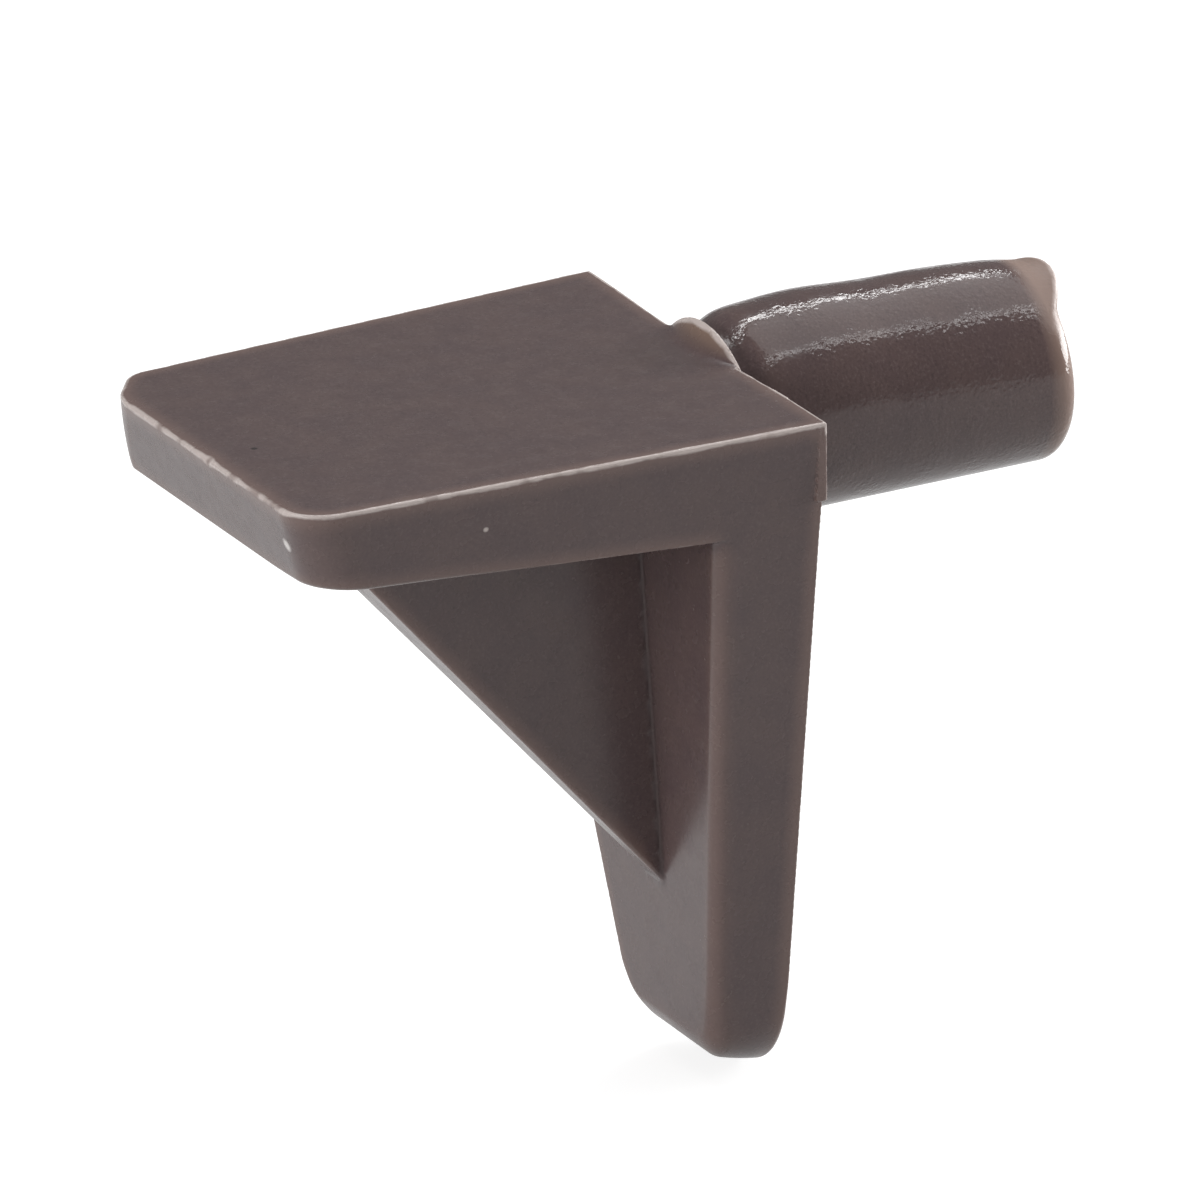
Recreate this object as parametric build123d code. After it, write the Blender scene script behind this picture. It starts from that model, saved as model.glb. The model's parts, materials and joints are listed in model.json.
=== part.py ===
from build123d import *
import math
import os

os.makedirs("parts", exist_ok=True)

# One moulded shelf clip. Millimetres.
# Origin: on the peg's axis, in the plane of the lower back face that seats on the cabinet side.
# +Y runs along the peg into the cabinet side, the ledge reaches toward -Y, +Z is up.

# Ledge: the flat shelf seat
ledge_width = 12.65          # across the back, at the top face
ledge_front_width = 11.35    # across the front, at the top face
ledge_length = 12.93         # from the back plane to the front edge
ledge_front_thickness = 2.06
ledge_root_thickness = 2.63  # where the underside meets the plate
front_set_back = 0.60        # how far the front face leans back over its height
left_corner_top_radius = 1.80    # front corner at -X, in plan
left_corner_foot_radius = 0.25
right_corner_top_radius = 1.10   # front corner at +X, in plan
right_corner_foot_radius = 1.20
ledge_under_radius = 0.15        # lower edges, around the front and both sides
ledge_top_radius = 0.10          # upper edges, around the front and both sides

# Plate: hangs down the cabinet side
plate_height = 17.42         # from the ledge's top face to the back of the plate's foot
plate_bottom_width = 4.177   # its sides draw in along one plane with the ledge's sides
plate_root_thickness = 2.55
plate_foot_thickness = 1.84
plate_edge_radius = 0.35     # front edges, down both sides and around the foot
foot_corner_back_radius = 2.40   # the foot's two lower corners, at the back: nearly a full round
foot_corner_front_radius = 0.80  # and at the front
foot_rise = 0.83             # how much higher the foot's front is than its back

# Gusset: the thin web under the ledge
gusset_reach = 10.69         # its front end, from the back plane
gusset_drop = 12.80          # its lower end, below the top face
gusset_top_thickness = 2.70
gusset_tip_thickness = 1.00
gusset_root_radius = 0.45    # where it meets the plate and the ledge

# Peg
peg_diameter = 4.95
peg_length = 8.36
peg_top_depth = 1.82         # from the ledge's top face down to the peg's axis
peg_tip_radius = 0.50        # around the rim of its end
peg_tip_lean = 0.75          # how much further out the end leans at its top
peg_tip_lean_depth = 1.00    # from the peg's top down to where the end starts to lean
peg_tip_bend_radius = 1.20   # softens the bend where the lean starts
peg_root_radius = 0.25       # under the peg, where it leaves the lower back face

# Cap: the peg's round top standing above the ledge, with a ramp in front
cap_radius = 2.34
cap_ramp_length = 0.50

# Rear strip: the band above the parting line, which stands proud of the lower back face
strip_depth = 0.20
strip_draft_deg = 10.0
parting_below_axis = 0.20
parting_step = 0.08

top = peg_top_depth
foot = top - plate_height
peg_radius = peg_diameter / 2
half_width = ledge_width / 2
draft_down = (ledge_width - plate_bottom_width) / 2 / plate_height
draft_forward = (ledge_width - ledge_front_width) / 2 / ledge_length
bottom_angle = math.pi / 2 + math.atan(draft_down)
bottom_limit = plate_bottom_width / 2 * math.tan(bottom_angle / 2)

SPAN = 3 * max(ledge_width, ledge_length, plate_height, peg_length)  # reaches past everything
NEAR = 0.01           # a point this close to a face counts as on it
MOSTLY = 0.8          # an edge whose run is mostly one way
FULLEST_ROUND = 0.97  # the share of the foot's width that its two corner roundings may take


def side_cutter(half, height, in_forward, in_down):
    """The space outside the side plane x = half + in_forward * y - in_down * (height - z)."""
    outward = Vector(1, -in_forward, -in_down)
    side = Plane(origin=(half, 0, height), x_dir=(in_forward, 1, 0), z_dir=outward)
    return side * Box(SPAN, SPAN, SPAN, align=(Align.CENTER, Align.CENTER, Align.MIN))


def draw_in(solid, half, height, in_forward, in_down):
    """Trim both sides of a solid to mirrored, drafted side planes."""
    cutter = side_cutter(half, height, in_forward, in_down)
    return solid - cutter - mirror(cutter, about=Plane.YZ)


def slab(points, width):
    """A side profile of (y, z) points, thickened evenly about the middle plane."""
    outline = Plane.YZ * make_face(Polyline(*points, close=True))
    return extrude(outline, amount=width / 2, both=True)


def body_profile():
    """The L of ledge and plate, seen from the side."""
    return [
        (0, top),
        (-ledge_length, top),
        (-ledge_length + front_set_back, top - ledge_front_thickness),
        (-plate_root_thickness, top - ledge_root_thickness),
        (-plate_foot_thickness, foot + foot_rise),
        (0, foot),
    ]


def body():
    """Ledge and plate in one L, both sides drawn in along the same planes."""
    solid = slab(body_profile(), 2 * ledge_width)
    return draw_in(solid, half_width, top, draft_forward, draft_down)


def underside_at(y):
    """The height of the ledge's sloping underside."""
    front = -ledge_length + front_set_back
    run = (y - front) / (-plate_root_thickness - front)
    return top - ledge_front_thickness - run * (ledge_root_thickness - ledge_front_thickness)


def plate_front_at(z):
    """The Y of the plate's sloping front face."""
    run = (top - ledge_root_thickness - z) / (plate_height - foot_rise - ledge_root_thickness)
    return -plate_root_thickness + run * (plate_root_thickness - plate_foot_thickness)


def rises(edge):
    """How steep an edge is: 1 for a vertical one."""
    line = edge @ 1 - edge @ 0
    return abs(line.Z) / line.length


def rounding_loss(corner, one, other, radius, margin):
    """The face that a corner loses to its rounding. Its two sides run from it along unit vectors."""
    half_angle = math.radians(one.get_angle(other)) / 2
    on_one = corner + one * (radius / math.tan(half_angle))
    on_other = corner + other * (radius / math.tan(half_angle))
    toward = (one + other).normalized()
    middle = corner + toward * (radius / math.sin(half_angle) - radius)
    outside = Polyline(
        on_other,
        on_other - one * margin,
        corner - (one + other) * margin,
        on_one - other * margin,
        on_one,
    )
    return make_face(outside + ThreePointArc(on_one, middle, on_other))


def half_width_at(y, height):
    """Half the width between the drafted side planes."""
    return half_width + draft_forward * y - draft_down * (top - height)


def ledge_corner_section(side, height, radius):
    """What a front corner of the ledge loses at one height."""
    y = -ledge_length + front_set_back * (top - height) / ledge_front_thickness
    corner = Vector(side * half_width_at(y, height), y, height)
    back = Vector(side * draft_forward, 1, 0).normalized()
    return rounding_loss(corner, back, Vector(-side, 0, 0), radius, ledge_length / 4)


def ledge_corner_cutter(side, top_radius, foot_radius):
    """The conical rounding of one front corner, carried a little past both faces."""
    over = 0.1 * ledge_front_thickness
    slope = (top_radius - foot_radius) / ledge_front_thickness
    upper = ledge_corner_section(side, top + over, top_radius + slope * over)
    lower_height = top - ledge_front_thickness - over
    lower = ledge_corner_section(side, lower_height, foot_radius - slope * over)
    return loft([lower, upper], ruled=True)


def foot_corner_section(side, depth, radius):
    """What a lower corner of the plate loses at one depth in front of its back face."""
    height = foot + foot_rise * depth / plate_foot_thickness
    corner = Vector(side * half_width_at(-depth, height), -depth, height)
    up = Vector(side * draft_down, 0, 1).normalized()
    return rounding_loss(corner, up, Vector(-side, 0, 0), radius, plate_height / 4)


def foot_corner_cutter(side):
    """The conical rounding of one lower corner, carried a little past the plate's back and front."""
    over = 0.1 * plate_foot_thickness
    back_radius = min(foot_corner_back_radius, FULLEST_ROUND * bottom_limit)
    front_radius = min(foot_corner_front_radius, back_radius)
    slope = (back_radius - front_radius) / plate_foot_thickness
    behind = foot_corner_section(side, -over, back_radius + slope * over)
    front = foot_corner_section(side, plate_foot_thickness + over, front_radius - slope * over)
    return loft([front, behind], ruled=True)


def plate_front_edges(solid):
    """The two long edges down the plate's front."""
    def on_plate(edge):
        middle = edge @ 0.5
        tall = edge.length > plate_height / 2
        return tall and rises(edge) > MOSTLY and middle.Y < -plate_foot_thickness / 2
    return solid.edges().filter_by(on_plate)


def under_edges(solid):
    """The ledge's lower edges: across the front, around the corners and back along both sides."""
    def is_under(edge):
        middle = edge @ 0.5
        lowered = abs(middle.Z - underside_at(middle.Y)) < NEAR
        return lowered and middle.Y < -plate_root_thickness - NEAR
    return solid.edges().filter_by(is_under)


def top_edges(solid):
    """The ledge's upper edges: the same run as the lower ones."""
    def is_top(edge):
        middle = edge @ 0.5
        return abs(middle.Z - top) < NEAR and middle.Y < -NEAR
    return solid.edges().filter_by(is_top)


def rounded_body():
    solid = body()
    solid -= foot_corner_cutter(-1)
    solid -= foot_corner_cutter(1)
    solid = fillet(plate_front_edges(solid), plate_edge_radius)
    solid -= ledge_corner_cutter(-1, left_corner_top_radius, left_corner_foot_radius)
    solid -= ledge_corner_cutter(1, right_corner_top_radius, right_corner_foot_radius)
    solid = fillet(under_edges(solid), ledge_under_radius)
    return fillet(top_edges(solid), ledge_top_radius)


def gusset():
    """The triangular web, thinner toward its lower end."""
    toe = (-gusset_reach, underside_at(-gusset_reach))
    heel = (plate_front_at(top - gusset_drop), top - gusset_drop)
    sink = plate_foot_thickness / 4
    outline = [
        toe,
        (toe[0], toe[1] + sink),
        (-sink, toe[1] + sink),
        (-sink, heel[1]),
        heel,
    ]
    solid = slab(outline, 2 * gusset_top_thickness)
    fall = top - ledge_root_thickness - heel[1]
    in_down = (gusset_top_thickness - gusset_tip_thickness) / 2 / fall
    return draw_in(solid, gusset_top_thickness / 2, top - ledge_root_thickness, 0, in_down)


def gusset_roots(solid):
    """The edges where the gusset's sides meet the plate and the ledge."""
    def at_root(edge):
        middle = edge @ 0.5
        beside = gusset_tip_thickness / 4 < abs(middle.X) < gusset_top_thickness
        long = edge.length > gusset_drop / 3
        on_plate = abs(middle.Y - plate_front_at(middle.Z)) < NEAR
        on_ledge = abs(middle.Z - underside_at(middle.Y)) < NEAR
        behind_toe = middle.Y > -gusset_reach
        return beside and long and behind_toe and (on_plate or on_ledge)
    return solid.edges().filter_by(at_root)


def rear_strip():
    """The band behind the ledge, down to the parting line and a little proud of the plate."""
    parting = -parting_below_axis
    outline = [
        (-strip_depth, top),
        (-strip_depth, parting),
        (parting_step, parting),
        (0, top),
    ]
    solid = slab(outline, 2 * ledge_width)
    in_down = math.tan(math.radians(strip_draft_deg))
    return draw_in(solid, half_width, top, draft_forward, in_down)


def cap():
    """The peg's round end standing above the ledge, ramped down to the top face in front."""
    height = cap_radius - peg_top_depth
    disc = Plane.XZ * Circle(cap_radius)
    ramp = Vector(0, -cap_ramp_length, -height)
    solid = extrude(disc, amount=3 * ramp.length, dir=ramp)
    above = Pos(0, 0, top - height) * Box(
        SPAN, SPAN, 4 * height, align=(Align.CENTER, Align.CENTER, Align.MIN)
    )
    return solid & above


def beyond_tip():
    """The space beyond the peg's end: the end stands upright, then leans outward near its top."""
    bend = (peg_length, peg_radius - peg_tip_lean_depth)
    lean = Vector(peg_tip_lean, peg_tip_lean_depth)
    outline = FilletPolyline(
        (peg_length, -SPAN),
        bend,
        Vector(bend) + 3 * lean,
        radius=peg_tip_bend_radius,
    )
    outline += Polyline(Vector(bend) + 3 * lean, (SPAN, SPAN), (SPAN, -SPAN), (peg_length, -SPAN))
    return extrude(Plane.YZ * make_face(outline), amount=2 * peg_radius, both=True)


def rim(solid):
    """The edges around the peg's end."""
    def at_rim(edge):
        middle = edge @ 0.5
        across = math.hypot(middle.X, middle.Z)
        return abs(across - peg_radius) < NEAR and middle.Y > peg_length - NEAR
    return solid.edges().filter_by(at_rim)


def bar():
    """The peg itself, with a thinner stub inside the plate."""
    length = peg_length + 2 * peg_tip_lean
    stub_length = plate_foot_thickness / 2
    solid = extrude(Plane.XZ * Circle(peg_radius), amount=-length)
    solid -= beyond_tip()
    solid = fillet(rim(solid), peg_tip_radius)
    return solid + extrude(Plane.XZ * Circle(peg_radius / 2), amount=stub_length)


def peg_root():
    """The concave ring under the peg, kept below the parting line."""
    reach = peg_radius + peg_root_radius
    swing = peg_root_radius * (1 - math.sqrt(0.5))
    hollow = ThreePointArc((reach, 0), (peg_radius + swing, swing), (peg_radius, peg_root_radius))
    inside = -plate_foot_thickness / 4
    outline = Polyline(
        (peg_radius, peg_root_radius),
        (peg_radius - peg_root_radius, peg_root_radius),
        (peg_radius - peg_root_radius, inside),
        (reach, inside),
        (reach, 0),
    )
    ring = revolve(make_face(outline + hollow), axis=Axis.Y)
    below = Pos(0, 0, -parting_below_axis) * Box(
        SPAN, SPAN, SPAN, align=(Align.CENTER, Align.CENTER, Align.MAX)
    )
    return ring & below


def shelf_clip():
    solid = rounded_body() + gusset()
    solid = fillet(gusset_roots(solid), gusset_root_radius)
    return solid + bar() + peg_root() + rear_strip() + cap()


clip = shelf_clip()
export_step(clip, "parts/shelf_clip.step")
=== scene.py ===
"""The looks of the moulded shelf clip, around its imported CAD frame."""
import json
import math
from functools import reduce

import bpy
import numpy as np
from mathutils import Matrix, Vector

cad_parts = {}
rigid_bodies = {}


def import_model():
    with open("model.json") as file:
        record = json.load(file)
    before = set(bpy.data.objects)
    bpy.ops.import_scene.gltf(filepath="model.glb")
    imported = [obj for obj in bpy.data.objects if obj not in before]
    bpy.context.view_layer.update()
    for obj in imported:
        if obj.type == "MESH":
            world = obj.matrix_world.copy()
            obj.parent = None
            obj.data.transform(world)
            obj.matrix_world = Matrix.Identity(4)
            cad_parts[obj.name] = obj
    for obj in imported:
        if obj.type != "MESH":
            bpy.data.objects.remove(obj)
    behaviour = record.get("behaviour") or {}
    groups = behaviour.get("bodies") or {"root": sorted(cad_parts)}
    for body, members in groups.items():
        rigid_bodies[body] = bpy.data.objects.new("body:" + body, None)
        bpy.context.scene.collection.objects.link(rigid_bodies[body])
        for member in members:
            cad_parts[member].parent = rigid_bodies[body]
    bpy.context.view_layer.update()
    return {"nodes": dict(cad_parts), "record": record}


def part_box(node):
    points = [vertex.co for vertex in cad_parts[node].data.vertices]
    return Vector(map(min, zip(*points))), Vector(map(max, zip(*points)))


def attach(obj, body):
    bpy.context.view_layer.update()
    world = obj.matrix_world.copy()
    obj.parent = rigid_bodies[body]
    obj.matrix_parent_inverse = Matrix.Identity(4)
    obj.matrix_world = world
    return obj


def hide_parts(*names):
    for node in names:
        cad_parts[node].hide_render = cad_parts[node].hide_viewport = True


for leftover in list(bpy.data.objects):
    bpy.data.objects.remove(leftover)
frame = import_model()

# Sizes, in millimetres, in the frame's own axes: +Y along the peg, +Z up, the ledge toward -Y.
MM = 0.001
low, high = (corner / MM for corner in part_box("shelf_clip"))
mounts = {mount["name"]: mount for mount in frame["record"]["mounts"]}

PEG_RADIUS = mounts["peg"]["dims"]["r_mm"]
TOP = mounts["shelf_rest"]["pos_m"][2] / MM
FOOT = low.z
HALF_WIDTH = high.x
PLATE_HEIGHT = TOP - FOOT

LEDGE_LENGTH = 12.93
LEDGE_FRONT_HALF = 5.675
LEDGE_FRONT_THICKNESS = 2.06
LEDGE_ROOT_THICKNESS = 2.63
FRONT_SET_BACK = 0.60
LEFT_BEVEL = 0.73                # how deep the left corner is cut off at the top face
LEFT_BEVEL_FADE = 1.3            # how soon the cut fades below it
LEFT_BEVEL_SCALE = 0.97          # turns its value into a distance
LEFT_BEVEL_ANGLE = math.radians(32.6)
LEFT_CORNER = (0.30, 0.12)       # rounding in plan, at the top face and at the underside
RIGHT_CORNER = (1.10, 1.20)
TOP_EDGE = 0.11                  # rounding of the top face's rim
LEFT_TOP_EDGE = 0.05             # and of its left side
NICKS = ((0.6, 0.07), (2.1, 0.04))   # in the rim's front: how far across, and how deep
NICK_WIDTH = 0.16
UNDER_EDGE = (0.05, 0.16)        # rounding of the lower rim: most of it, and by the right corner

PLATE_BOTTOM_HALF = 2.0885
PLATE_ROOT_THICKNESS = 2.55
PLATE_FOOT_THICKNESS = 1.84
LEFT_EDGE, RIGHT_EDGE = 0.07, 0.36   # rounding of the plate's two front edges
RIGHT_EDGE_GAIN = 0.15           # of the right one, low down
FOOT_EDGE = 0.52                 # rounding of the front edge around its foot
REAR_EDGE = (0.03, 0.20)         # and of its back edges: the sides, and the foot's corners
FOOT_CORNER_BACK, FOOT_CORNER_FRONT = 2.40, 0.80
FOOT_RISE = 0.83                 # of its bottom, from back to front
FOOT_SAG = 0.05                  # below a straight line

GUSSET_REACH = 10.60
GUSSET_DROP = 12.64
GUSSET_TOP_HALF = 1.35
GUSSET_TIP_HALF = 0.50
GUSSET_EDGE = 0.10
GUSSET_ROOT = 0.07               # fillet around it

PEG_LENGTH = 8.32
PEG_RIM = 0.40
LEAN_FROM = PEG_RADIUS - 1.00    # the height at which the peg's end starts to lean outward
LEAN = 0.85
LEAN_BLEND = 0.01                # how softly the lean starts, in square millimetres
PEG_ROOT = 0.25
SWELL = (0.12, 0.30, 0.17)       # height, and place and width as shares of the peg's length
DIP = (0.34, 0.48)               # depth and width of the dip at its root
SAG = (0.28, 0.62, 1.20)         # depth, and the shares of the length between which it grows
TIP_DROP = (0.08, 7.4, 8.4)      # depth, and where along the peg it starts and ends

CAP_RADIUS = 2.43
CAP_NARROWING = 0.88             # the cap is a little flatter than the peg's round
CAP_FOOT = 0.12                  # fillet between the cap's ramp and the ledge
BACK_HOLLOW = 0.16               # how far the back edge of the top runs forward, beside the cap
CAP_RAMP = 0.50
PARTING = -0.20
STRIP_DEPTH = 0.20
STRIP_STEP = 0.08
STRIP_DRAFT = math.tan(math.radians(10.0))
CRISP = 0.06                     # the least rounding of any moulded edge

# How much narrower the part gets for each millimetre down, and forward.
DRAFT_DOWN = (HALF_WIDTH - PLATE_BOTTOM_HALF) / PLATE_HEIGHT
DRAFT_FORWARD = (HALF_WIDTH - LEDGE_FRONT_HALF) / LEDGE_LENGTH


# Distance fields. Each takes points as arrays x, y, z and gives a distance, negative inside.
def rounded(radius, *spaces):
    """Where every space holds, with their common edge rounded."""
    reach = sum(np.maximum(space + radius, 0) ** 2 for space in spaces)
    return np.minimum(reduce(np.maximum, spaces), -radius) + np.sqrt(reach)


def joined(radius, one, other):
    """Where either holds, with a fillet in the corner between them."""
    reach = np.maximum(radius - one, 0) ** 2 + np.maximum(radius - other, 0) ** 2
    return np.maximum(np.minimum(one, other), radius) - np.sqrt(reach)


def slope(value, *rates):
    """Turns a height above a sloping face into a distance from it."""
    return value / math.sqrt(1 + sum(rate * rate for rate in rates))


def ramp(value, start, end):
    """0 before start, 1 past end, smooth between them."""
    share = np.clip((value - start) / (end - start), 0, 1)
    return share * share * (3 - 2 * share)


def blend(one, other, share):
    return one + (other - one) * share


def side(x, y, z, draft):
    """The two sides, with the given draft downward."""
    half = HALF_WIDTH + DRAFT_FORWARD * y - draft * (TOP - z)
    return slope(np.abs(x) - half, DRAFT_FORWARD, draft)


def underside_at(y):
    """The height of the ledge's underside."""
    front = -LEDGE_LENGTH + FRONT_SET_BACK
    run = (y - front) / (-PLATE_ROOT_THICKNESS - front)
    return TOP - LEDGE_FRONT_THICKNESS - run * (LEDGE_ROOT_THICKNESS - LEDGE_FRONT_THICKNESS)


def plate_front_at(z):
    """Where the plate's front face is."""
    run = (TOP - LEDGE_ROOT_THICKNESS - z) / (PLATE_HEIGHT - FOOT_RISE - LEDGE_ROOT_THICKNESS)
    return -PLATE_ROOT_THICKNESS + run * (PLATE_ROOT_THICKNESS - PLATE_FOOT_THICKNESS)


def rim_wander(x, y):
    """How the rounding of the top face's rim varies along it, with two nicks in front."""
    wander = 0.02 * np.sin(1.9 * x + 0.4) + 0.015 * np.sin(4.7 * x + 2.6 * y + 1.0)
    wander += 0.012 * np.sin(3.1 * y - 0.8)
    front = ramp(-y, LEDGE_LENGTH - 1.0, LEDGE_LENGTH - 0.4)
    for place, depth in NICKS:
        wander += front * depth * np.exp(-((x - place) / NICK_WIDTH) ** 2)
    return wander


def ledge(x, y, z):
    """The ledge: its left corner cut off and its right one rounded."""
    below = TOP - z
    lean = FRONT_SET_BACK / LEDGE_FRONT_THICKNESS
    share = np.clip(below / LEDGE_FRONT_THICKNESS, 0, 1)
    front = slope(-y - LEDGE_LENGTH + lean * below, lean)
    flank = side(x, y, z, DRAFT_DOWN)
    left = blend(*LEFT_CORNER, share)
    right = blend(*RIGHT_CORNER, share)
    half = LEDGE_FRONT_HALF - DRAFT_DOWN * below
    across = -math.sin(LEFT_BEVEL_ANGLE) * (x + half)
    bevel = across - math.cos(LEFT_BEVEL_ANGLE) * (y + LEDGE_LENGTH - lean * below)
    bevel = LEFT_BEVEL_SCALE * (bevel + LEFT_BEVEL * (1 - share) ** LEFT_BEVEL_FADE)
    cut_front = rounded(left, np.maximum(flank, bevel), front)
    left_side = np.maximum(rounded(left, flank, bevel), cut_front)
    outline = np.where(x < 0, left_side, rounded(right, flank, front))
    from_left = ramp(x, -HALF_WIDTH, -HALF_WIDTH + 1.5)
    rim = LEFT_TOP_EDGE + (TOP_EDGE - LEFT_TOP_EDGE + rim_wander(x, y)) * from_left
    upper = rounded(rim, outline, -below)
    by_right_corner = ramp(x, 2.5, 5.0) * ramp(-y, 6.0, 10.0)
    return rounded(blend(*UNDER_EDGE, by_right_corner), upper, underside_at(y) - z)


def foot(x, y, z):
    """The plate's outline: sides, bottom, and lower corners that tighten toward the front."""
    depth = np.clip(-y / PLATE_FOOT_THICKNESS, 0, 1.3)
    bottom = FOOT + FOOT_RISE * depth - FOOT_SAG * np.sin(np.pi * np.clip(depth, 0, 1))
    radius = blend(FOOT_CORNER_BACK, FOOT_CORNER_FRONT, depth)
    half = HALF_WIDTH + DRAFT_FORWARD * y - DRAFT_DOWN * (TOP - bottom)
    across = np.abs(x) - half - radius * (DRAFT_DOWN - math.hypot(1, DRAFT_DOWN))
    up = z - bottom - radius
    flats = np.maximum(side(x, y, z, DRAFT_DOWN), bottom - z)
    in_corner = (across > 0) & (up + DRAFT_DOWN * across < 0)
    return np.where(in_corner, np.hypot(across, up) - radius, flats)


def plate(x, y, z):
    """The upright plate."""
    lean = (PLATE_ROOT_THICKNESS - PLATE_FOOT_THICKNESS) / PLATE_HEIGHT
    front = slope(plate_front_at(z) - y, lean)
    low_down = ramp(-z, -FOOT - 3.0, -FOOT - 0.8)
    edge = blend(LEFT_EDGE, RIGHT_EDGE + RIGHT_EDGE_GAIN * low_down, ramp(x, 0.2, 1.6))
    edge = blend(edge, FOOT_EDGE, ramp(-z, -FOOT - 2.0, -FOOT - 0.9))
    rear = blend(*REAR_EDGE, low_down)
    block = rounded(rear, rounded(edge, foot(x, y, z), front), y)
    return np.maximum(block, z - TOP + LEDGE_FRONT_THICKNESS / 2)


def gusset(x, y, z):
    """The web under the ledge, which tapers downward."""
    drop = GUSSET_DROP - LEDGE_ROOT_THICKNESS
    thinning = (GUSSET_TOP_HALF - GUSSET_TIP_HALF) / drop
    half = GUSSET_TOP_HALF - thinning * (TOP - LEDGE_ROOT_THICKNESS - z)
    flank = slope(np.abs(x) - half, thinning)
    toe = Vector((-GUSSET_REACH, underside_at(-GUSSET_REACH)))
    heel = Vector((plate_front_at(TOP - GUSSET_DROP), TOP - GUSSET_DROP))
    along = (heel - toe).normalized()
    outer = along.y * (y - toe.x) - along.x * (z - toe.y)
    inside = np.maximum(y + PLATE_FOOT_THICKNESS / 3, z - TOP + LEDGE_FRONT_THICKNESS / 2)
    return np.maximum(rounded(GUSSET_EDGE, flank, outer), inside)


def strip(x, y, z):
    """The band behind the ledge, above the parting line."""
    rate = STRIP_STEP / (TOP - PARTING)
    back = slope(y - rate * (TOP - z), rate)
    edges = rounded(CRISP, side(x, y, z, STRIP_DRAFT), back, PARTING - z)
    return np.maximum(rounded(CRISP, edges, z - TOP), -STRIP_DEPTH - y)


def peg_swell(y, z):
    """The peg's top isn't straight: it dips at the root, swells, and sinks toward the tip."""
    along = np.clip(y / PEG_LENGTH, 0, 1)
    swell = SWELL[0] * np.exp(-((along - SWELL[1]) / SWELL[2]) ** 2)
    swell -= DIP[0] * np.exp(-(y / DIP[1]) ** 2)
    sag = SAG[0] * ramp(along, SAG[1], SAG[2]) + TIP_DROP[0] * ramp(y, TIP_DROP[1], TIP_DROP[2])
    return (swell - sag) * ramp(z, -0.4 * PEG_RADIUS, PEG_RADIUS)


def peg(x, y, z):
    """The peg, whose end leans outward at the top, and the core that joins it to the ledge."""
    radial = np.hypot(x, z) - PEG_RADIUS - peg_swell(y, z)
    over = z - LEAN_FROM
    leaning = 0.5 * (over + np.sqrt(over * over + LEAN_BLEND))
    end = slope(y - PEG_LENGTH - LEAN * leaning, LEAN / 2)
    rim = PEG_RIM - 0.12 * ramp(z, 0.5 * PEG_RADIUS, PEG_RADIUS)
    outer = rounded(CRISP * 2, rounded(rim, radial, end), -y)
    inner = np.maximum(np.maximum(radial + 0.1, np.abs(y) - 0.5), z - TOP + 0.15)
    return np.minimum(outer, inner)


def cap(x, y, z):
    """The peg's round end above the ledge, ramped down in front."""
    rate = (CAP_RADIUS - TOP) / CAP_RAMP
    fall = rate * np.minimum(y, 0)
    round_top = slope(np.hypot(CAP_NARROWING * x, z - fall) - CAP_RADIUS, rate * 0.8)
    return np.maximum(rounded(CRISP, round_top, y), TOP - 0.6 - z)


def moulding(x, y, z):
    """The whole clip."""
    inward = np.clip(-side(x, y, z, DRAFT_DOWN), 0, CRISP * 2)
    body = np.maximum(joined(inward, ledge(x, y, z), plate(x, y, z)), y)
    body = joined(GUSSET_ROOT, body, gusset(x, y, z))
    body = np.minimum(body, strip(x, y, z))
    inside = (HALF_WIDTH - 0.5 - np.abs(x)) / (HALF_WIDTH - CAP_RADIUS)
    hollow = BACK_HOLLOW * np.clip(inside, 0, 1) * ramp(z, 0, TOP)
    back = blend(0.5 * CRISP, TOP_EDGE, ramp(-x, 1.0, 3.0))
    body = rounded(back, body, y - STRIP_STEP + hollow)
    root = blend(CRISP, PEG_ROOT, ramp(-z, -PARTING, -PARTING + 0.3))
    body = joined(root, body, peg(x, y, z))
    return joined(blend(CRISP, CAP_FOOT, ramp(-y, 0.1, 0.4)), body, cap(x, y, z))


# The skin: the zero surface of the moulding's distance field, as one closed mesh.
CELL = 0.052
CUBE = [(i, j, k) for i in (0, 1) for j in (0, 1) for k in (0, 1)]
TRIANGLES = 185_000
KEPT_BAND = 0.16                 # how far from an edge the triangles stay fine
KEPT_SHARE = 0.02                # how much the decimation minds long triangles elsewhere
RIPPLE = 0.0003                  # without it, the decimation empties the flat faces
RIPPLE_RATE = 47.0               # its waves, in radians for each millimetre
STEP = 0.01                      # the offset with which the field's slope is measured
EDGE_LINE = 0.09                 # how far an outer edge's pale line reaches: partly scuffs and partly a painted highlight
PAINTED_EDGE_LIGHT_REACH = 0.45                 # how far from an outer edge the plastic is painted paler: painted light, for light shining through its thin edges


def sample_grid():
    """The field at the corners of a grid of cells, one slab at a time."""
    margin = 3 * CELL
    counts = [int((b - a + 2 * margin) / CELL) + 1 for a, b in zip(low, high)]
    axes = []
    for start, count in zip(low, counts):
        axes.append((start - margin + CELL * np.arange(count)).astype(np.float32))
    field = np.empty(counts, np.float32)
    y, z = np.meshgrid(axes[1], axes[2], indexing="ij")
    for i, x in enumerate(axes[0]):
        field[i] = moulding(np.full_like(y, x), y, z)
    return axes, field


def corner(array, place):
    """The values at one corner of every cell."""
    return array[tuple(slice(o, o + n - 1) for o, n in zip(place, array.shape))]


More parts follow.
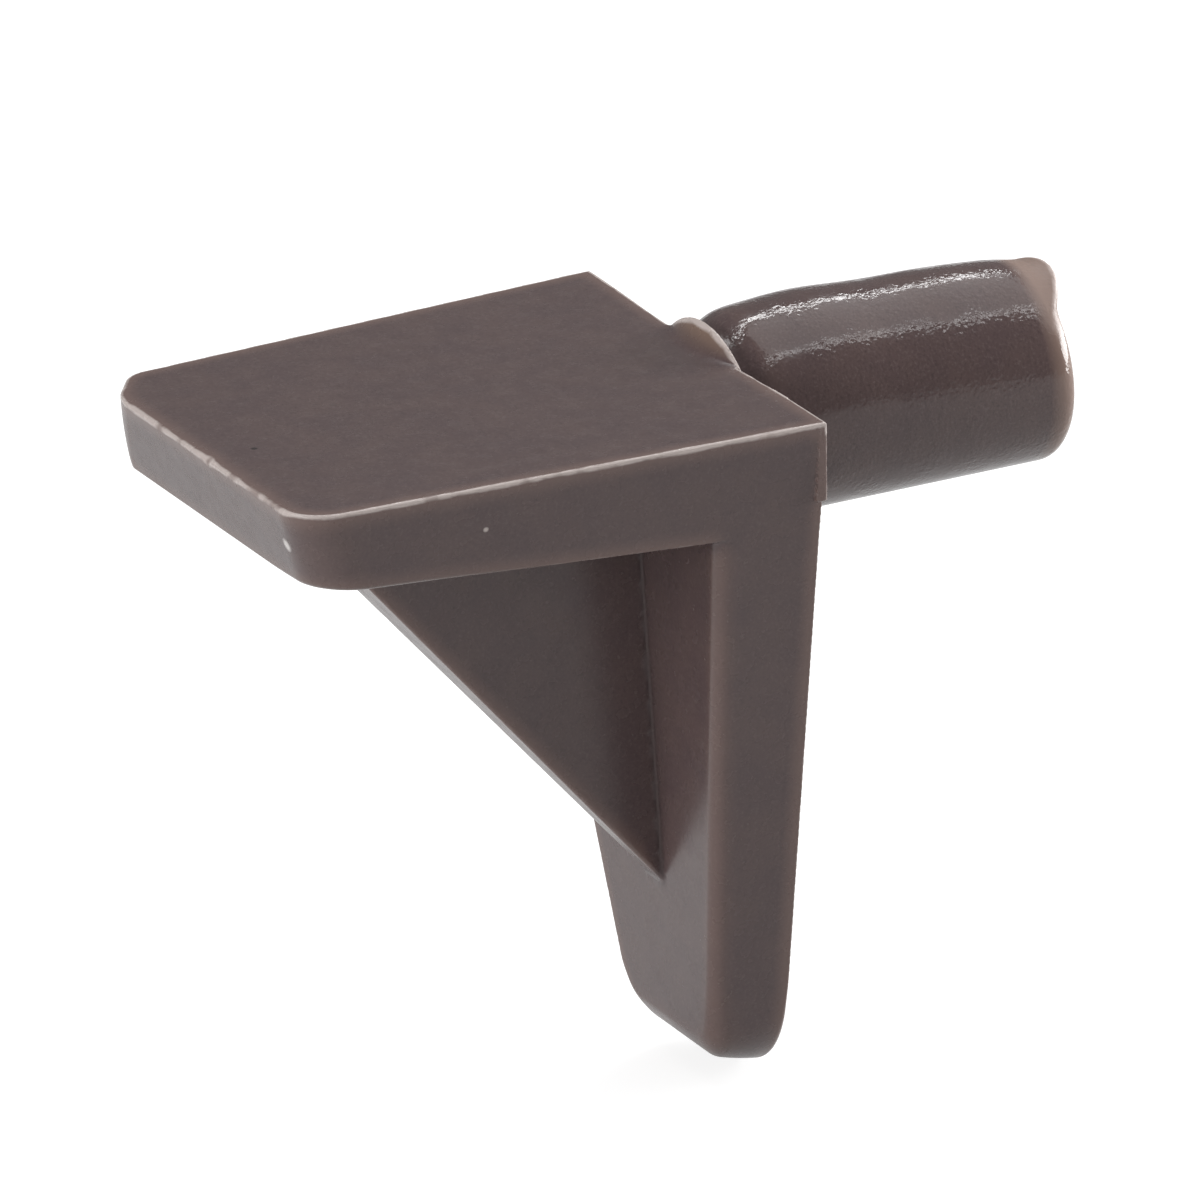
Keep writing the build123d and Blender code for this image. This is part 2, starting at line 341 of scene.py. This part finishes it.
def crossing_points(axes, field, cells):
    """For each cell, the middle of the points where the surface crosses its edges."""
    values = {place: field[tuple((cells + place).T)] for place in CUBE}
    total = np.zeros((len(cells), 3))
    count = np.zeros(len(cells))
    for near in CUBE:
        for axis in range(3):
            if near[axis]:
                continue
            far = tuple(1 if n == axis else step for n, step in enumerate(near))
            crossed = (values[near] < 0) != (values[far] < 0)
            point = np.tile(np.array(near, float), (len(cells), 1))
            point[:, axis] = values[near] / np.where(crossed, values[near] - values[far], 1)
            total += point * crossed[:, None]
            count += crossed
    return np.array([axis[0] for axis in axes]) + (cells + total / count[:, None]) * CELL


def surface_nets(axes, field):
    """One vertex in each cell and one quad round each grid edge that the surface crosses."""
    inside = field < 0
    corners_inside = sum(corner(inside, place).astype(np.int8) for place in CUBE)
    crossed = (corners_inside > 0) & (corners_inside < len(CUBE))
    cells = np.argwhere(crossed)
    number = np.full(crossed.shape, -1, np.int32)
    number[tuple(cells.T)] = np.arange(len(cells))
    quads = []
    for axis in range(3):
        first = tuple(slice(1, -1) if n != axis else slice(None, -1) for n in range(3))
        second = tuple(slice(1, -1) if n != axis else slice(1, None) for n in range(3))
        u, v = (axis + 1) % 3, (axis + 2) % 3
        for leaving in (True, False):
            start, end = (first, second) if leaving else (second, first)
            spots = np.argwhere(inside[start] & ~inside[end])
            spots[:, [u, v]] += 1
            ring = []
            for du, dv in ((0, 0), (1, 0), (1, 1), (0, 1)):
                cell = spots.copy()
                cell[:, u] -= du
                cell[:, v] -= dv
                ring.append(number[tuple(cell.T)])
            ring = np.stack(ring, 1)
            quads.append(ring if leaving else ring[:, ::-1])
    return crossing_points(axes, field, cells), np.concatenate(quads)


def gradient(points):
    """The field's slope at each point."""
    rows = []
    for axis in range(3):
        offset = np.zeros(3)
        offset[axis] = STEP
        rows.append((moulding(*(points + offset).T) - moulding(*(points - offset).T)) / (2 * STEP))
    return np.stack(rows, 1)


def edge(points, reach):
    """How near each point is to an edge: 0 on a flat, 1 on an outer edge, -1 in a corner."""
    total = -6 * moulding(*points.T)
    for axis in range(3):
        offset = np.zeros(3)
        offset[axis] = reach
        total += moulding(*(points + offset).T) + moulding(*(points - offset).T)
    return np.clip(total / (2 * reach), -1, 1)


def settle(points, rounds=3):
    """Moves each point onto the surface, along the field's slope."""
    for _ in range(rounds):
        slopes = gradient(points)
        square = np.maximum((slopes ** 2).sum(1), 0.05)
        move = (moulding(*points.T) / square)[:, None] * slopes
        points = points - np.clip(move, -CELL, CELL)
    return points


def relax(points, quads):
    """Evens the spacing: points go halfway to their neighbours' middle, then to the surface."""
    total = np.zeros_like(points)
    count = np.zeros(len(points))
    for n in range(4):
        a, b = quads[:, n], quads[:, (n + 1) % 4]
        for one, other in ((a, b), (b, a)):
            for axis in range(3):
                total[:, axis] += np.bincount(one, points[other, axis], len(points))
            count += np.bincount(one, minlength=len(points))
    return settle(points + 0.5 * (total / count[:, None] - points), rounds=2)


def reduced(mesh, count):
    """A copy of the mesh with so many triangles: fine along its edges, and even elsewhere."""
    holder = bpy.data.objects.new("holder", mesh)
    bpy.context.scene.collection.objects.link(holder)
    along_edges = edge(vertices(mesh), KEPT_BAND) > 0.12
    kept = holder.vertex_groups.new(name="kept")
    for chosen, weight in ((along_edges, 1.0), (~along_edges, KEPT_SHARE)):
        kept.add(np.flatnonzero(chosen).tolist(), weight, "REPLACE")
    modifier = holder.modifiers.new("reduce", "DECIMATE")
    modifier.vertex_group = "kept"
    modifier.invert_vertex_group = True
    modifier.vertex_group_factor = 1.0
    modifier.ratio = min(1.0, count / (2 * len(mesh.polygons)))
    modifier.use_collapse_triangulate = True
    seen = holder.evaluated_get(bpy.context.evaluated_depsgraph_get())
    result = bpy.data.meshes.new_from_object(seen)
    bpy.data.objects.remove(holder)
    return result


def vertices(mesh):
    points = np.empty(len(mesh.vertices) * 3)
    mesh.vertices.foreach_get("co", points)
    return points.reshape(-1, 3)


def build_skin():
    """The clip's one piece, in metres, with its normals and the values that its paint reads."""
    axes, field = sample_grid()
    points, quads = surface_nets(axes, field)
    points = relax(settle(points), quads)
    points += RIPPLE * np.sin(RIPPLE_RATE * points[:, [1, 2, 0]])
    dense = bpy.data.meshes.new("dense")
    dense.from_pydata(points.tolist(), [], quads.tolist())
    mesh = reduced(dense, TRIANGLES)
    mesh.name = "shelf_clip_skin"

    points = settle(vertices(mesh), rounds=2)
    normals = gradient(points)
    normals /= np.linalg.norm(normals, axis=1)[:, None]
    mesh.vertices.foreach_set("co", (points * MM).ravel())
    mesh.update()
    mesh.shade_smooth()
    mesh.normals_split_custom_set_from_vertices(normals)
    line = edge(points, EDGE_LINE)
    # Painted shade: the creases round the web's root, below the parting line.
    by_gusset = (np.abs(points[:, 0]) < 2) & (points[:, 2] < PARTING)
    paint = {"edge_line": line, "painted_edge_light": edge(points, PAINTED_EDGE_LIGHT_REACH), "painted_root_shade": -line * by_gusset}
    for name, value in paint.items():
        mesh.attributes.new(name, "FLOAT", "POINT").data.foreach_set("value", np.clip(value, 0, 1))

    skin = bpy.data.objects.new("shelf_clip_skin", mesh)
    bpy.context.scene.collection.objects.link(skin)
    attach(skin, "root")
    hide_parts("shelf_clip")
    return skin


# Materials.
class Shader:
    """A material's or the world's node tree, built one node to a call."""

    def __init__(self, owner):
        owner.use_nodes = True
        self.tree = owner.node_tree
        self.tree.nodes.clear()

    def add(self, kind, inputs=(), **settings):
        """Adds a node. Its inputs are pairs of a socket and a value or another node's output."""
        node = self.tree.nodes.new("ShaderNode" + kind)
        for name, value in settings.items():
            setattr(node, name, value)
        for name, value in dict(inputs).items():
            if isinstance(value, bpy.types.NodeSocket):
                self.tree.links.new(value, node.inputs[name])
            else:
                node.inputs[name].default_value = value
        return node

    def noise(self, place, scale, detail=2.0, roughness=0.5):
        inputs = {"Vector": place, "Scale": scale, "Detail": detail, "Roughness": roughness}
        return self.add("TexNoise", inputs).outputs["Fac"]

    def spread(self, value, from_low, from_high, to_low, to_high):
        """Maps a range of values onto another one, and stops at its ends."""
        inputs = {"Value": value, "From Min": from_low, "From Max": from_high,
                  "To Min": to_low, "To Max": to_high}
        return self.add("MapRange", inputs).outputs["Result"]

    def math(self, operation, one, other):
        return self.add("Math", {0: one, 1: other}, operation=operation).outputs[0]

    def mix(self, factor, one, other):
        """Mixes two colours. The node's sockets are numbered, as their names repeat."""
        return self.add("Mix", {0: factor, 6: one, 7: other}, data_type="RGBA").outputs[2]


PLASTIC = (0.103, 0.070, 0.070, 1)
PLASTIC_WARM = (0.115, 0.078, 0.075, 1)
# Painted light: paler browns for the thin edges, the peg's end and the cap, where light catches or
# shines through.
PALE_PAINTED_EDGE_LIGHT = (0.230, 0.152, 0.130, 1)
PAINTED_TIP_LIGHT = (0.265, 0.183, 0.152, 1)
PAINTED_CAP_LIGHT = (0.240, 0.160, 0.115, 1)
# Pale scuffs, also used as a painted highlight along the top rim.
SCUFF_AND_HIGHLIGHT = (0.620, 0.540, 0.510, 1)
GRAIN_LIGHT = (0.175, 0.135, 0.130, 1)
# Dark grain, also used as painted shade round the web's root.
GRAIN_AND_SHADE_DARK = (0.055, 0.040, 0.040, 1)
SPECKS_AND_GLINT = (                       # flaws in the plastic, and one painted glint: place, radius and colour
    ((0.58, -11.70, 1.82), 0.10, (0.02, 0.015, 0.015, 1)),
    # A painted highlight: the near-white glint on the ledge's right front corner.
    ((4.25, -12.60, 0.80), 0.20, (0.75, 0.70, 0.68, 1)),
    ((5.65, -8.32, 0.71), 0.08, SCUFF_AND_HIGHLIGHT),
)


def plastic():
    """Satin dark grey-brown plastic: mottled and finely speckled, with painted light: paler near
    its thin edges, at the peg's end and on the cap; a pale top rim, partly scuffs and partly a
    painted highlight; a painted glint; and painted shade round the web's root.
    """
    material = bpy.data.materials.new("moulded_plastic")
    shader = Shader(material)
    place = shader.add("TexCoord").outputs["Object"]
    place = shader.add("VectorMath", {0: place, 1: (1 / MM,) * 3}, operation="MULTIPLY").outputs[0]
    split = shader.add("SeparateXYZ", {0: place}).outputs
    on_peg = shader.spread(split["Y"], 0.15, 0.35, 0.0, 1.0)

    mottle = shader.spread(shader.noise(place, 0.9, 3.0), 0.35, 0.65, 0.0, 1.0)
    colour = shader.mix(mottle, PLASTIC, PLASTIC_WARM)
    grain = shader.noise(place, 14.0, 1.0)
    colour = shader.mix(shader.spread(grain, 0.56, 0.80, 0.0, 0.45), colour, GRAIN_LIGHT)
    colour = shader.mix(shader.spread(grain, 0.44, 0.20, 0.0, 0.45), colour, GRAIN_AND_SHADE_DARK)

    glow = shader.add("Attribute", attribute_name="painted_edge_light").outputs["Fac"]
    # Painted light: paler brown near the outer edges, for light shining through the thin plastic
    # there.
    colour = shader.mix(shader.spread(glow, 0.05, 0.80, 0.0, 0.55), colour, PALE_PAINTED_EDGE_LIGHT)
    along_tip = shader.spread(split["Y"], PEG_LENGTH - 0.75, PEG_LENGTH - 0.35, 0.0, 1.0)
    spoke = shader.add("VectorMath", {0: place, 1: (1, 0, 1)}, operation="MULTIPLY").outputs[0]
    from_axis = shader.add("VectorMath", {0: spoke}, operation="LENGTH").outputs["Value"]
    outward = shader.spread(from_axis, PEG_RADIUS - 0.9, PEG_RADIUS - 0.5, 0.0, 1.0)
    at_tip = shader.math("MULTIPLY", along_tip, outward)
    # Painted light: the rim and upper corner of the peg's end are painted paler, for the back
    # light and the floor's reflection caught there.
    colour = shader.mix(at_tip, colour, PAINTED_TIP_LIGHT)
    # Painted light: the cap's ramp above the top face is painted paler brown, more so higher up,
    # for how it catches the light.
    on_cap = shader.math("MULTIPLY", shader.spread(split["Z"], TOP + 0.05, TOP + 0.45, 0.0, 0.7),
                         shader.spread(split["Y"], 0.04, 0.10, 1.0, 0.0))
    colour = shader.mix(on_cap, colour, PAINTED_CAP_LIGHT)
    # Partly real scuffs and partly a painted highlight: a pale line along the top rim's edges, in
    # patches.
    line = shader.add("Attribute", attribute_name="edge_line").outputs["Fac"]
    at_top = shader.spread(split["Z"], TOP - 0.35, TOP - 0.2, 0.25, 1.0)
    patchy = shader.spread(shader.noise(place, 1.6, 3.0), 0.35, 0.62, 0.45, 1.0)
    scuff_and_highlight = shader.math("MULTIPLY", shader.math("MULTIPLY", line, at_top), patchy)
    colour = shader.mix(shader.spread(scuff_and_highlight, 0.10, 0.32, 0.0, 0.9), colour, SCUFF_AND_HIGHLIGHT)
    # Painted shade: darker in the creases round the web's root, where shade falls.
    painted_root_shade = shader.add("Attribute", attribute_name="painted_root_shade").outputs["Fac"]
    painted_root_shade = shader.spread(painted_root_shade, 0.05, 0.4, 0.0, 0.6)
    colour = shader.mix(painted_root_shade, colour, GRAIN_AND_SHADE_DARK)

    # Small dark and light flaws, and the painted glint.
    for spot, radius, tint in SPECKS_AND_GLINT:
        away = shader.add("VectorMath", {0: place, 1: spot}, operation="DISTANCE").outputs["Value"]
        colour = shader.mix(shader.spread(away, 0.5 * radius, radius, 0.9, 0.0), colour, tint)

    satin = shader.spread(shader.noise(place, 2.2, 3.0), 0.3, 0.7, 0.22, 0.30)
    glossy = shader.spread(shader.noise(place, 3.0, 3.0), 0.3, 0.7, 0.09, 0.18)
    roughness = shader.math("ADD", shader.math("MULTIPLY", glossy, on_peg),
                            shader.math("MULTIPLY", satin, shader.math("SUBTRACT", 1.0, on_peg)))
    up_high = shader.spread(split["Z"], 0.9, 1.3, 0.0, 0.35)
    roughness = shader.math("ADD", roughness, shader.math("MULTIPLY", at_tip, up_high))

    waves = shader.math("MULTIPLY", shader.noise(place, 0.5, 0.0), 1.0)
    fine = shader.math("MULTIPLY", shader.noise(place, 10.0, 1.0), 0.12)
    rough_patches = shader.spread(shader.noise(place, 1.1, 2.0), 0.36, 0.60, 0.9, 4.2)
    fleck_depth = shader.math("MULTIPLY", on_peg, rough_patches)
    flecks = shader.math("MULTIPLY", shader.noise(place, 9.0, 1.0), fleck_depth)
    height = shader.math("ADD", shader.math("ADD", waves, fine), flecks)
    bump = shader.add("Bump", {"Height": height, "Strength": 1.0, "Distance": 0.004 * MM})

    surface = shader.add("BsdfPrincipled", {
        "Base Color": colour,
        "Roughness": roughness,
        "IOR": 1.5,
        # Painted shade also lowers the reflection in those creases.
        "Specular IOR Level": shader.spread(painted_root_shade, 0.0, 1.0, 0.5, 0.1),
        "Normal": bump.outputs[0],
    })
    shader.add("OutputMaterial", {"Surface": surface.outputs[0]})
    return material


# The stage: camera, lamps, world and floor.
CAMERA_AZIMUTH, CAMERA_ELEVATION, CAMERA_ROLL = 65.59, 20.10, -3.16     # degrees
CAMERA_DISTANCE = 417.1
CAMERA_LENS = 543.2
LAMP_AIM = Vector((0, -4, 0))    # the point that the lamps face
AIM_OFFSET = Vector((-0.097, -0.851, 2.721))    # from the box's middle to the picture's
FLOOR_WHITE = (0.42, 0.42, 0.42, 1)
FLOOR_GLOW = 0.80                # how much brighter the overexposed floor is for the camera
FLOOR_MIRRORED = 0.40            # and in the plastic's reflections
FLOOR_HALF = 1500.0
WORLD_GREY = (0.18, 0.18, 0.18, 1)


def add_camera():
    azimuth, elevation = math.radians(CAMERA_AZIMUTH), math.radians(CAMERA_ELEVATION)
    flat = math.cos(elevation)
    back = Vector((math.sin(azimuth) * flat, -math.cos(azimuth) * flat, math.sin(elevation)))
    right = Vector((math.cos(azimuth), math.sin(azimuth), 0))
    turn = Matrix.Rotation(math.radians(CAMERA_ROLL), 3, back)
    axes = [turn @ right, turn @ back.cross(right), back]
    middle = (low + high) / 2 + AIM_OFFSET
    camera = bpy.data.objects.new("camera", bpy.data.cameras.new("camera"))
    camera.data.lens = CAMERA_LENS
    camera.data.clip_start, camera.data.clip_end = 0.01, 10.0
    camera.matrix_world = Matrix.Translation((middle + back * CAMERA_DISTANCE) * MM) @ \
        Matrix(axes).transposed().to_4x4()
    bpy.context.scene.collection.objects.link(camera)
    bpy.context.scene.camera = camera


def add_lamp(name, toward, width, length, radiance, along=(0, 0, 1), distance=300.0):
    """A soft rectangular lamp that faces the part, sized in degrees as seen from there."""
    light = bpy.data.lights.new(name, "AREA")
    light.shape = "RECTANGLE"
    light.size = 2 * distance * MM * math.tan(math.radians(width / 2))
    light.size_y = 2 * distance * MM * math.tan(math.radians(length / 2))
    light.energy = radiance * math.pi * light.size * light.size_y
    lamp = bpy.data.objects.new(name, light)
    back = Vector(toward).normalized()
    across = Vector(along).cross(back).normalized()
    place = (LAMP_AIM + back * distance) * MM
    turn = Matrix((across, back.cross(across), back)).transposed().to_4x4()
    lamp.matrix_world = Matrix.Translation(place) @ turn
    bpy.context.scene.collection.objects.link(lamp)


def add_lamps():
    add_lamp("overhead", (-0.16, 0.39, 0.90), 44, 50, 1.2)
    add_lamp("tube_near", (0.27, 0.39, 0.88), 2.5, 60, 8, along=(-0.29, 0.91, -0.31), distance=290)
    add_lamp("tube_far", (-0.58, 0.12, 0.80), 3, 56, 15, along=(-0.31, 0.93, -0.23), distance=290)
    add_lamp("camera_side", (0.855, -0.388, 0.344), 20, 20, 1.7)
    add_lamp("front", (0.15, -0.98, 0.12), 56, 36, 3.5)
    add_lamp("front_high", (-0.10, -0.93, 0.35), 40, 30, 0.7)
    add_lamp("back", (-0.05, 0.98, 0.14), 56, 20, 12)


def add_world():
    world = bpy.data.worlds.new("studio")
    shader = Shader(world)
    grey = shader.add("Background", {"Color": WORLD_GREY, "Strength": 1.0})
    shader.add("OutputWorld", {"Surface": grey.outputs[0]})
    bpy.context.scene.world = world


def floor_paper():
    """White paper, overexposed as in a product photo, that keeps a soft shadow."""
    material = bpy.data.materials.new("floor_paper")
    shader = Shader(material)
    path = shader.add("LightPath")
    seen = shader.math("MULTIPLY", path.outputs["Is Camera Ray"], FLOOR_GLOW)
    mirrored = shader.math("MULTIPLY", path.outputs["Is Glossy Ray"], FLOOR_MIRRORED)
    place = shader.add("TexCoord").outputs["Object"]
    tooth = shader.noise(place, 900.0, 2.0)
    bump = shader.add("Bump", {"Height": tooth, "Strength": 0.2, "Distance": 0.0001})
    paper = shader.add("BsdfDiffuse", {"Color": FLOOR_WHITE, "Normal": bump.outputs[0]})
    glow = shader.add("Emission", {"Strength": shader.math("ADD", seen, mirrored)})
    both = shader.add("AddShader", {0: paper.outputs[0], 1: glow.outputs[0]})
    shader.add("OutputMaterial", {"Surface": both.outputs[0]})
    return material


def add_floor():
    mesh = bpy.data.meshes.new("floor")
    half = FLOOR_HALF * MM
    corners = [(-half, -half, 0), (half, -half, 0), (half, half, 0), (-half, half, 0)]
    mesh.from_pydata(corners, [], [(0, 1, 2, 3)])
    floor = bpy.data.objects.new("floor", mesh)
    floor.location.z = FOOT * MM
    mesh.materials.append(floor_paper())
    bpy.context.scene.collection.objects.link(floor)


skin = build_skin()
skin.data.materials.append(plastic())
frame["nodes"]["shelf_clip"].data.materials.clear()
frame["nodes"]["shelf_clip"].data.materials.append(skin.data.materials[0])
add_camera()
add_lamps()
add_world()
add_floor()
bpy.context.scene.view_settings.view_transform = "Standard"
